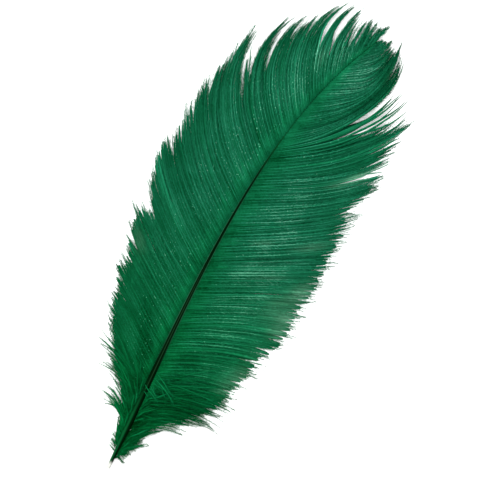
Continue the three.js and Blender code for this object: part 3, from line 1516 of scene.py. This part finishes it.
    def _drift(self, draw: np.random.Generator, barbs: Barbs, at: Array) -> Array:
        """How far each barb leaves its own station's plan: into clumps and locks, and away from the partings.

        Args:
            draw: The source of chance.
            barbs: The barbs.
            at: The shares of the length.

        Returns:
            The drift in mm along the shaft, as (barbs, samples).
        """
        station, locks, clumps = barbs.station, barbs.locks, barbs.clumps
        inward = (clumps.off * clumps.half)[:, None] * clumps.habit(draw.uniform(*self.clump_pull, clumps.count))
        inward = inward * smooth(at, 0.02, 0.4)
        start = locks.habit(draw.uniform(*self.lock_starts, locks.count))
        pull = locks.habit(draw.uniform(*self.lock_pull, locks.count)) * smooth(at, start, 1.02)
        pull = pull * mix(0.4, 1.0, smooth(station, *self.firm))[:, None]
        inward = inward + (locks.off * locks.half)[:, None] * pull
        inward = inward - locks.drawn_habit(draw, self.lock_lean) * at**2
        drift = -inward * ~barbs.below[:, None]
        for p in self.plan.partings:
            away = station[:, None] - p.station
            open_share = smooth(at, p.start, min(p.start + 0.3, 1.05))
            push = np.where(away > 0, p.beyond, -1.0) * p.gap
            drift = drift + push * np.exp(-np.abs(away) / p.reach) * open_share
        return drift

    def _fan(self, paths: BarbField, follows: Array, along: Array, flat: Array) -> Array:
        """How far apart the barbs of neighbouring stations lie, square to their run.

        Args:
            paths: The web's barb plans.
            follows: The station whose plan each barb follows at its samples.
            along: The shares of the guides' length there.
            flat: The points' X and Y.

        Returns:
            The distance in mm between barbs that grow 1 mm apart.
        """
        apart = paths.place(follows + 0.5, along) - paths.place(follows - 0.5, along)
        run = unit(np.gradient(flat, axis=1))
        return np.abs(apart[..., 0] * run[..., 1] - apart[..., 1] * run[..., 0])

    def _height(self, draw: np.random.Generator, barbs: Barbs, full: Array, at: Array) -> Array:
        """How high each barb lies along its length: out of the shaft's flank, over a low arch and down on the table.

        Args:
            draw: The source of chance.
            barbs: The barbs.
            full: The share of a full-grown barb's fluff that each has, as a column.
            at: The shares of the length.

        Returns:
            The heights in mm.
        """
        column = (len(barbs.station), 1)
        high = barbs.locks.drawn_habit(draw, self.lock_high) + barbs.clumps.drawn_habit(draw, self.clump_high)
        high = high + self.thin_high * barbs.thin[:, None] + self.ridge_high * barbs.ridge[:, None]
        high = np.where(barbs.below[:, None], self.below_high, high)
        root, _ = self.shaft.root(barbs.station, self.plan.side)
        lift = self.root_lift_share * self.shaft.width(barbs.station)[:, None]
        layer = draw.uniform(-1, 1, column) * self.layer * full * smooth(at, 0.05, 0.4)
        arch = self.arch * full * np.sin(math.pi * np.clip(at / 0.7, 0, 1)) * draw.uniform(0.6, 1.2, column)
        land = mix(root[:, 2:] + self.root_lift + lift, self.landing, smooth(at, 0.08, 0.72))
        height = land + layer + arch + high * full * smooth(at, 0.02, 0.3)
        height = height - self.tip_drop * smooth(at, 0.75, 1.0) + waves(draw, column[0], at[0], 0.10, 0.8) * full
        return np.maximum(height, self.lowest)

    def _lone(self, station: Array, at: Array) -> Array:
        """Finds the barbs that hang alone, where the web is thinned out.

        Args:
            station: The barbs' stations.
            at: The shares of the length.

        Returns:
            1 where a barb hangs alone and 0 where it lies in the web.
        """
        lone = np.zeros((len(station), at.shape[-1]))
        for low, high, reach in self.plan.thinned:
            inside = ((station > low) & (station < high))[:, None]
            lone = np.maximum(lone, inside * smooth(at, reach - 0.1, reach + 0.15))
        return lone

    def _width(
        self, draw: np.random.Generator, barbs: Barbs, fan: Array, full: Array, lone: Array, share: Array
    ) -> Array:
        """How wide each barb is along its length: those below close the web, and are narrow where it is limp.

        Args:
            draw: The source of chance.
            barbs: The barbs.
            fan: How far apart neighbouring barbs lie.
            full: The share of a full-grown barb's fluff that each has, as a column.
            lone: Where the barbs hang alone.
            share: The shares of the length.

        Returns:
            The widths in mm.
        """
        limp = smooth(barbs.station, *self.limp)[:, None]
        mat = mix(read(self.mat, share)[None, :], read(self.limp_mat, share)[None, :], limp)
        filled = self.fill * smooth(barbs.station, *self.filled)[:, None]
        mat = mat + filled * (1 - smooth(share[None, :], 0, 0.1))
        above = self.broad * read(self.taper, share)[None, :] * mix(0.5, 1.0, full)
        above = above * np.sqrt(np.clip(fan, 0.6, 1.5)) * mix(1, 3.0, lone)
        below = self.below_broad * mat * np.clip(fan, 0.35, 2.0) * mix(1, 0.3, lone)
        width = np.where(barbs.below[:, None], below, above)
        width = width * draw.uniform(*self.widths, (len(width), 1))
        return width * np.where(barbs.thin, self.thin_width, 1.0)[:, None]

    def _roll(self, draw: np.random.Generator, barbs: Barbs, share: Array) -> Array:
        """How far each barb is rolled about its own run along its length.

        Args:
            draw: The source of chance.
            barbs: The barbs.
            share: The shares of the length.

        Returns:
            The turns in radians.
        """
        count = len(barbs.station)
        roll = draw.normal(0, self.roll, (count, 1)) + waves(draw, count, share, 0.08, 0.9)
        roll = roll + barbs.locks.drawn_habit(draw, self.roll) * smooth(share[None, :], 0.1, 0.6)
        return roll * np.where(barbs.below, self.below_roll, 1.0)[:, None]

    def _tone(self, draw: np.random.Generator, barbs: Barbs, at: Array) -> Array:
        """How light each barb is along its length, painted light and shade included.

        Args:
            draw: The source of chance.
            barbs: The barbs.
            at: The shares of the length.

        Returns:
            The tones, around 0.5.
        """
        station, clumps = barbs.station[:, None], barbs.clumps
        count = len(station)
        tone = self.tone + draw.normal(0, 0.03, (count, 1)) + waves(draw, count, at[0], 0.02)
        tone = tone + barbs.locks.drawn_habit(draw, 0.025) * smooth(at, 0.0, 0.5)
        tone = tone + clumps.drawn_habit(draw, 0.02)
        for period, amount in self.ripples:
            phase = draw.uniform(0, 2 * math.pi, 2)
            bend = 1.5 * np.sin(2 * math.pi * (at * 0.8 + station / 90) + phase[1])
            tone = tone + amount * np.sin(2 * math.pi * station / period + phase[0] + bend)
        # Painted highlights: every other upper barb is lighter along its ridge near the root; the others are a little
        # darker.
        ramus = np.where(barbs.ridge, draw.uniform(*self.ridge_highlight, count), draw.uniform(*self.plain_tone, count))
        tone = tone + ramus[:, None] * smooth(at, 0.0, 0.07) * (1 - smooth(at, 0.45, 0.85))
        # Painted shade by the shaft, where the barbs' roots lie close together.
        tone = tone - 0.08 * (1 - smooth(at, 0.02, 0.3))
        # Painted shade in the gaps at the sides of each clump.
        tone = tone - 0.06 * np.abs(clumps.off)[:, None] * (1 - smooth(at, 0.3, 0.8))
        tone = tone - 0.04 * smooth(at, 0.85, 1.0)
        plain, patchy = self.lightest
        # The web's tone patches add painted light and shade.
        tone = np.minimum(np.minimum(tone, plain) + patched(self.plan.tones, station, at), patchy)
        # Painted shade on the barbs that lie below the others.
        return tone - barbs.below[:, None] * mix(0.18, 0.05, smooth(at, 0.05, 0.5))


LEFT_WEB = WebPlan(
    side=Side.LEFT,
    guides=LEFT_GUIDES,
    outline=(
        (36, 0.80), (48, 0.90), (58, 0.95), (68, 0.90), (74, 1.00), (86, 0.92), (98, 1.00), (106, 0.98), (112, 0.82),
        (118, 0.96), (132, 1.12), (138, 0.95), (144, 1.00), (176, 1.03), (182, 1.20), (189, 1.10), (194, 0.72),
        (197, 0.80), (201, 1.18), (208, 0.82), (216, 0.96), (224, 0.80), (230, 0.93), (240, 0.93), (244, 1.10),
        (247, 0.90), (257, 0.94), (266, 0.68), (272, 0.88), (280, 0.85), (284, 0.60), (290, 0.90),
    ),
    partings=(
        Parting(72, 0.78, 1.4), Parting(94, 0.76, 1.4), Parting(113, 0.70, 1.6), Parting(138, 0.80, 1.6),
        Parting(156, 0.68, 1.0), Parting(168, 0.80, 2.0), Parting(180, 0.86, 1.6), Parting(194, 0.62, 2.6),
        Parting(198, 0.70, 4.2), Parting(203, 0.80, 2.4), Parting(210, 0.56, 2.0), Parting(220, 0.80, 2.0),
        Parting(231, 0.76, 1.6), Parting(243, 0.42, 2.2), Parting(252, 0.46, 3.0), Parting(262, 0.40, 2.2),
        Parting(266.5, 0.50, 2.2), Parting(271.5, 0.33, 1.6), Parting(281, 0.46, 1.4),
    ),
    strays=(
        Stray(191.5, 1.17, 2), Stray(189, 1.04, 2), Stray(165.5, 1.22, 2), Stray(170, 1.1, 2), Stray(154, 1.12, 2),
        Stray(137.5, 1.17), Stray(125, 1.12, 2), Stray(115, 1.08, 2), Stray(88, 0.98, 2), Stray(70, 0.92, 3),
        Stray(201, 1.14, 2, 2.0), Stray(205, 1.09, 2), Stray(213, 1.0, 2), Stray(222, 1.0, 3), Stray(258, 1.0, 2),
        Stray(266, 0.97, 2), Stray(284, 0.97, 2),
    ),
    # Painted light and shade: lighter and darker patches of tone.
    tones=(
        Patch(81, 0.44, 9, 0.16, -0.17), Patch(73, 0.30, 8, 0.13, -0.28), Patch(58, 0.22, 9, 0.14, -0.38),
        Patch(212, 0.78, 14, 0.2, -0.10), Patch(236, 0.30, 20, 0.2, 0.05), Patch(150, 0.55, 50, 0.35, -0.05),
        Patch(246, 0.36, 7, 0.13, 0.17), Patch(263, 0.25, 12, 0.20, 0.13),
    ),
    bares=(Patch(247, 0.36, 2.5, 0.07, 0.22), Patch(97, 0.80, 3, 0.10, 0.20)),
    thinned=((197, 199, 0.62), (250.5, 253, 0.45), (242, 244, 0.42), (261, 263, 0.42)),
    ragged=1.4,
    glint=1.0,
    seed=11,
)
RIGHT_WEB = WebPlan(
    side=Side.RIGHT,
    guides=RIGHT_GUIDES,
    outline=(
        (36, 0.84), (48, 0.90), (56, 0.86), (64, 0.94), (78, 0.96), (84, 1.08), (108, 1.07), (130, 1.04), (146, 1.00),
        (157, 0.88), (166, 0.98), (184, 0.92), (190, 1.03), (197, 1.02), (201, 0.84), (203, 0.96), (206.5, 0.96),
        (207, 0.85), (208, 1.00), (213, 0.98), (218, 0.87), (226, 1.02), (244, 1.02), (252, 0.96), (264, 1.02),
        (275, 0.85), (280, 1.15), (284, 0.90), (290, 0.52),
    ),
    partings=(
        Parting(106, 0.94, 0.8), Parting(133, 0.9, 1.0), Parting(144, 0.92, 1.2), Parting(156, 0.9, 1.4),
        Parting(165, 0.94, 1.2), Parting(173.5, 0.90, 1.8, 3), Parting(180, 0.84, 2.2, 3), Parting(187.5, 0.86, 0.8),
        Parting(190.5, 0.94, 1.4, 3), Parting(196.5, 0.90, 1.4, 3), Parting(203.2, 0.58, 3.6, 4.0, 0.1),
        Parting(204.9, 0.66, 0.5, 1.0), Parting(206.4, 0.62, 0.6, 1.0), Parting(207.8, 0.46, 0.9, 1.2, 0.1),
        Parting(268, 0.85, 1.2), Parting(281, 0.6, 1.2),
    ),
    strays=(
        Stray(181, 1.03, 3), Stray(172, 1.07, 3), Stray(153, 1.12, 2), Stray(153.5, 1.02, 3, 1.5),
        Stray(135, 1.17, 2), Stray(132, 1.12, 2), Stray(126.5, 1.15, 2), Stray(124, 1.10, 2), Stray(119.5, 1.18, 2),
        Stray(116, 1.13, 2), Stray(107, 1.08, 3), Stray(104, 1.10, 3), Stray(95, 1.12, 3), Stray(88, 1.13, 3),
        Stray(80, 1.07, 3), Stray(73, 1.07, 3), Stray(68, 1.07, 3), Stray(60, 1.02, 3), Stray(197.5, 1.06, 2),
        Stray(201, 1.0, 2), Stray(205, 0.98, 2), Stray(209, 1.05, 2), Stray(270, 1.1, 2), Stray(276, 1.1, 2),
    ),
    # Painted light and shade: lighter and darker patches of tone.
    tones=(
        Patch(213, 0.85, 9, 0.30, -0.24), Patch(250, 0.34, 11, 0.22, 0.24), Patch(266, 0.33, 12, 0.32, 0.24),
        Patch(233, 0.74, 10, 0.20, -0.18), Patch(50, 0.30, 7, 0.14, -0.30), Patch(67, 0.30, 7, 0.13, -0.24),
        Patch(60, 0.75, 9, 0.10, 0.18), Patch(125, 0.62, 62, 0.45, 0.16), Patch(165, 0.02, 75, 0.12, -0.13),
        Patch(103, 0.06, 38, 0.12, -0.12), Patch(194, 0.54, 9, 0.25, -0.17),
    ),
    bares=(
        Patch(180, 0.75, 1.7, 0.07, 0.75), Patch(178.5, 0.62, 1.4, 0.07, 0.30), Patch(138.5, 0.76, 2.2, 0.12, 0.30),
        Patch(143, 0.34, 1.4, 0.06, 0.30), Patch(112, 0.95, 5.0, 0.08, 0.60), Patch(99, 0.96, 4.0, 0.08, 0.60),
        Patch(91, 0.96, 3.0, 0.08, 0.50), Patch(104, 0.80, 8.0, 0.10, 0.18), Patch(65, 0.84, 5.0, 0.09, 0.28),
        Patch(56, 0.80, 5.0, 0.12, 0.28), Patch(78, 0.88, 5.0, 0.10, 0.06), Patch(122, 0.60, 1.6, 0.12, 0.20),
        Patch(224, 0.86, 2.0, 0.06, 0.35),
    ),
    thinned=((203.0, 207.9, 0.56), (179, 181.5, 0.84)),
    ragged=0.95,
    glint=0.3,
    seed=23,
)


# ---- The down ----


@dataclass(frozen=True)
class Tuft:
    """A fan of loose barbs, each pair from its first barb to its last. Lengths are in mm and angles in degrees."""

    stations: Pair
    angles: Pair
    lengths: Pair
    bend: float
    count: int
    high: float = 1.5
    tone: float = 0.38
    spread: float = 7.0
    broad: float = 1.0


LEFT_TUFTS = (
    Tuft((10, 18), (70, 40), (4, 7), 0, 12, 0.8),
    Tuft((16, 30), (22, 24), (7, 15), 2, 34, 1.0),
    Tuft((26, 42), (30, 38), (14, 25), 4, 36, 1.5),
    Tuft((34, 52), (42, 47), (23, 39), 2, 38, 1.8),
    Tuft((24, 46), (20, 20), (14, 24), -6, 14, 2.6, 0.46),
    Tuft((40, 47), (24, 35), (46, 43), 36, 18, 1.4, 0.42, 2.0, 1.5),
    Tuft((34, 41), (18, 32), (37, 33), 48, 18, 1.4, 0.42, 2.0, 1.5),
    Tuft((22, 30), (14, 34), (28, 23), 50, 15, 1.0, 0.40, 2.5, 1.5),
    Tuft((50, 53), (-112, -118), (15, 18), -24, 2, 6.0, 0.50, 1.0, 0.9),
    Tuft((14, 50), (26, 44), (6, 36), 2, 22, 0.4, 0.34, 2.0, 3.0),
)
RIGHT_TUFTS = (
    Tuft((9, 18), (100, 42), (6, 10), 8, 24, 0.8),
    Tuft((8, 22), (40, 32), (13, 31), 6, 48, 1.2, 0.38, 5.0),
    Tuft((25, 37), (46, 50), (35, 44), 26, 42, 1.8, 0.38, 4.5),
    Tuft((38, 58), (58, 62), (46, 52), 24, 46, 2.0, 0.39, 4.5),
    Tuft((22, 44), (30, 56), (12, 24), 20, 34, 2.8, 0.24),
    Tuft((30, 46), (20, 40), (16, 26), 26, 22, 3.4, 0.46),
    Tuft((50, 54), (108, 116), (14, 19), 46, 6, 4.6, 0.56, 4.0),
    Tuft((55, 60), (94, 104), (22, 28), 40, 8, 4.2, 0.50, 4.0),
    Tuft((8, 22), (38, 32), (12, 29), 6, 14, 0.4, 0.32, 2.0, 3.6),
    Tuft((26, 56), (46, 62), (35, 50), 26, 27, 0.4, 0.32, 1.5, 3.6),
)


@dataclass
class Down:
    """The short loose barbs on one side of the quill. Lengths are in mm and angles in degrees."""

    side: Side
    shaft: ShaftLine
    tufts: Sequence[Tuft]
    seed: int
    samples: int = 11
    jitter: float = 0.8
    sizes: Pair = (0.74, 1.04)
    wave: float = 9.0
    most_wave: float = 16.0
    root_lift: float = 0.2
    landing: float = 0.9
    lowest: float = 0.3
    broad: float = 0.7
    taper: Profile = ((0, 0.7), (0.3, 1.0), (0.8, 0.5), (1.0, 0.12))
    thickness: float = 0.26
    roll: float = 0.35
    # How much painted shade darkens the roots of the darker tufts.
    root_dark: float = 0.25
    dark_below: float = 0.45

    def tuft(self, tuft: Tuft, draw: np.random.Generator) -> Strands:
        """Lays out one fan of barbs.

        Args:
            tuft: The fan.
            draw: The source of chance.

        Returns:
            Its strands.
        """
        count = tuft.count
        share = np.linspace(0, 1, self.samples)
        at = share[None, :]
        place = (np.arange(count) + draw.random(count)) / count
        station = mix(*tuft.stations, place) + draw.normal(0, self.jitter, count)
        length = mix(*tuft.lengths, place) * draw.uniform(*self.sizes, count)
        angle = (mix(*tuft.angles, place) + tuft.spread * np.clip(draw.normal(0, 1, count), -1.5, 1.5))[:, None]
        root, heading = self.shaft.root(station, self.side)
        wave = np.clip(waves(draw, count, share, self.wave / tuft.broad), -self.most_wave, self.most_wave)
        bend = tuft.bend * draw.uniform(0.75, 1.25, (count, 1)) * at + wave
        turn = heading[:, None] - self.side.value * np.radians(angle + bend)
        step = (length / (self.samples - 1))[:, None]
        path = np.stack([np.cos(turn), np.sin(turn)], -1) * step[..., None]
        flat = root[:, None, :2] + np.cumsum(path, axis=1) - path[:, :1]
        high = tuft.high * draw.uniform(0.3, 1.3, (count, 1)) * smooth(length, 4, 20)[:, None]
        land = mix(root[:, 2:] + self.root_lift, self.landing, smooth(at, 0.3, 1.0))
        height = land + high * np.sin(math.pi * at**0.8)
        height = np.maximum(height + waves(draw, count, share, 0.2), self.lowest)
        width = self.broad * tuft.broad * read(self.taper, share)[None, :]
        width = width * draw.uniform(0.7, 1.2, (count, 1))
        roll = (draw.normal(0, self.roll, (count, 1)) + waves(draw, count, share, 0.2)) / tuft.broad**2
        tone = tuft.tone + draw.normal(0, 0.08, (count, 1)) + 0.12 * smooth(at, 0.2, 0.9)
        # Painted shade at the roots of the tufts whose tone is low, deep in the down.
        tone = tone - self.root_dark * (1 - smooth(at, 0, 0.36)) * (tuft.tone < self.dark_below)
        centre = np.concatenate([flat, height[..., None]], -1)
        none, fluff = np.zeros_like(tone), np.full(count, 1 / tuft.broad)
        return Strands(centre, roll, width, np.full_like(width, self.thickness), tone, none, none, fluff)

    def strands(self) -> Strands:
        """Lays out every barb of the down.

        Returns:
            The strands.
        """
        draw = np.random.default_rng(self.seed)
        first, *others = (self.tuft(tuft, draw) for tuft in self.tufts)
        for other in others:
            first = first.joined(other)
        return first


# ---- Studio ----


@dataclass(frozen=True)
class Lamp:
    """A soft square light that shines at the plume.

    Its place is from the target, as right, up and high in the picture, in metres, and its size is in metres too.
    """

    name: str
    place: tuple[float, float, float]
    size: float
    watts: float


@dataclass(frozen=True)
class FloorFinish:
    """A pale matt floor with a faint light of its own, so that the shade under the plume stays soft."""

    name: str = "floor_white"
    white: float = 0.97
    roughness: float = 0.9
    specular: float = 0.1
    glow: float = 0.15

    def material(self) -> bpy.types.Material:
        """Makes the material.

        Returns:
            The material.
        """
        tree = NodeTree(self.name)
        tree.inputs["Base Color"].default_value = (self.white, self.white, self.white, 1)
        tree.inputs["Roughness"].default_value = self.roughness
        tree.inputs["Specular IOR Level"].default_value = self.specular
        tree.inputs["Emission Color"].default_value = (1, 1, 1, 1)
        tree.inputs["Emission Strength"].default_value = self.glow
        return tree.material


@dataclass
class Studio:
    """The floor, the light and the camera. Lengths are in metres, and the lens is in mm."""

    target: Pair = (0.0, 0.0)
    turn: float = math.radians(32.24)
    distance: float = 0.678
    lens: float = 85.0
    sensor: float = 36.0
    near: float = 0.01
    room: float = 0.84
    floor_side: float = 6.0
    lamps: Sequence[Lamp] = (Lamp("key", (-0.75, 0.85, 1.1), 0.7, 26.0), Lamp("fill", (0.9, -0.5, 1.2), 1.2, 11.0))

    def floor(self) -> None:
        """Makes the pale floor."""
        bpy.ops.object.select_all(action="DESELECT")
        bpy.ops.mesh.primitive_plane_add(size=self.floor_side, location=(0, 0, 0))
        obj = settle()
        obj.name = obj.data.name = "floor"
        obj.data.materials.append(FloorFinish().material())

    def shine(self, lamp: Lamp) -> None:
        """Adds one lamp.

        Args:
            lamp: The lamp.
        """
        right, up, high = lamp.place
        cos, sin = math.cos(self.turn), math.sin(self.turn)
        data = bpy.data.lights.new(lamp.name, "AREA")
        data.shape = "SQUARE"
        data.size = lamp.size
        data.energy = lamp.watts
        obj = linked(lamp.name, data)
        away = Vector((right * cos - up * sin, right * sin + up * cos, high))
        obj.location = Vector((*self.target, 0.0)) + away
        obj.rotation_euler = away.to_track_quat("Z", "Y").to_euler()

    def light(self) -> None:
        """Sets the room's light and the lamps."""
        scene = bpy.context.scene
        world = bpy.data.worlds.new("studio")
        world.use_nodes = True
        back = world.node_tree.nodes["Background"]
        back.inputs["Color"].default_value = (1, 1, 1, 1)
        back.inputs["Strength"].default_value = self.room
        scene.world = world
        for lamp in self.lamps:
            self.shine(lamp)
        scene.view_settings.view_transform = "Standard"
        scene.view_settings.look = "None"

    def camera(self) -> None:
        """Adds the camera, which looks straight down with the plume leaning to the right."""
        data = bpy.data.cameras.new("camera")
        data.lens = self.lens
        data.sensor_width = self.sensor
        data.clip_start = self.near
        obj = linked("camera", data)
        obj.location = (*self.target, self.distance)
        obj.rotation_euler = (0, 0, self.turn)
        bpy.context.scene.camera = obj


# ---- Assembly ----


@dataclass(frozen=True)
class Stretch:
    """A stretch of both webs that is one piece: its stations in mm, and how its barbules grow."""

    title: str
    low: float
    high: float
    barbules: BarbuleStyle


STRETCHES = (
    Stretch("lower", 0, 128, BarbuleStyle(angle=33)),
    Stretch("middle", 128, 200, BarbuleStyle(angle=26)),
    Stretch("tip", 200, 400, BarbuleStyle(angle=17, tip_share=0.3)),
)
FLUFF = BarbuleStyle(per_mm=4.6, length=2.9, width=0.16, angle=34, spread=14, lift=18, tip_share=0.6)
WEB_STEPS, DOWN_STEPS = 14, 10
DOWN_SEED, BARBULE_SEED = 7, 100
PICTURE_MIDDLE = (1.0, 147.3)


def hold(obj: bpy.types.Object, node: str) -> None:
    """Rides a piece on the plume, hides the CAD node that it stands for and logs its triangles.

    Args:
        obj: The piece.
        node: The CAD node that the piece stands for.
    """
    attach(obj, "root")
    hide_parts(node)
    log.info("%s: %d triangles", obj.name, sum(len(p.vertices) - 2 for p in obj.data.polygons))


def main() -> None:
    """Builds the plume, the floor, the light and the camera."""
    logging.basicConfig(level=logging.INFO, format="%(name)s: %(message)s")
    shaft = Shaft()
    hold(shaft.build(HornFinish("shaft_horn")), "shaft")
    barb, small_barb, barbule = barb_seed(WEB_STEPS), barb_seed(DOWN_STEPS), barbule_seed()
    web_material = FibreFinish("web_fibres").material()
    down_material = FibreFinish("down_fibres").material()
    for plan, tufts in ((LEFT_WEB, LEFT_TUFTS), (RIGHT_WEB, RIGHT_TUFTS)):
        name = plan.side.name.lower()
        strands, station = Web(plan, shaft.line).strands()
        draw = np.random.default_rng(plan.seed + BARBULE_SEED)
        for stretch in STRETCHES:
            mesh = FibreMesh()
            part = strands.part((station >= stretch.low) & (station < stretch.high))
            mesh.grow(part, barb, barbule, stretch.barbules, draw)
            hold(mesh.build(f"{name}_web_{stretch.title}", shaft.shift, web_material), f"{name}_web")
        mesh = FibreMesh()
        down = Down(plan.side, shaft.line, tufts, plan.seed + DOWN_SEED)
        mesh.grow(down.strands(), small_barb, barbule, FLUFF, draw)
        hold(mesh.build(f"{name}_down_tuft", shaft.shift, down_material), f"{name}_down")
    middle = (np.array(PICTURE_MIDDLE) + shaft.shift[:2]) * MM
    studio = Studio(target=(middle[0], middle[1]))
    studio.floor()
    studio.light()
    studio.camera()


if __name__ == "__main__":
    main()
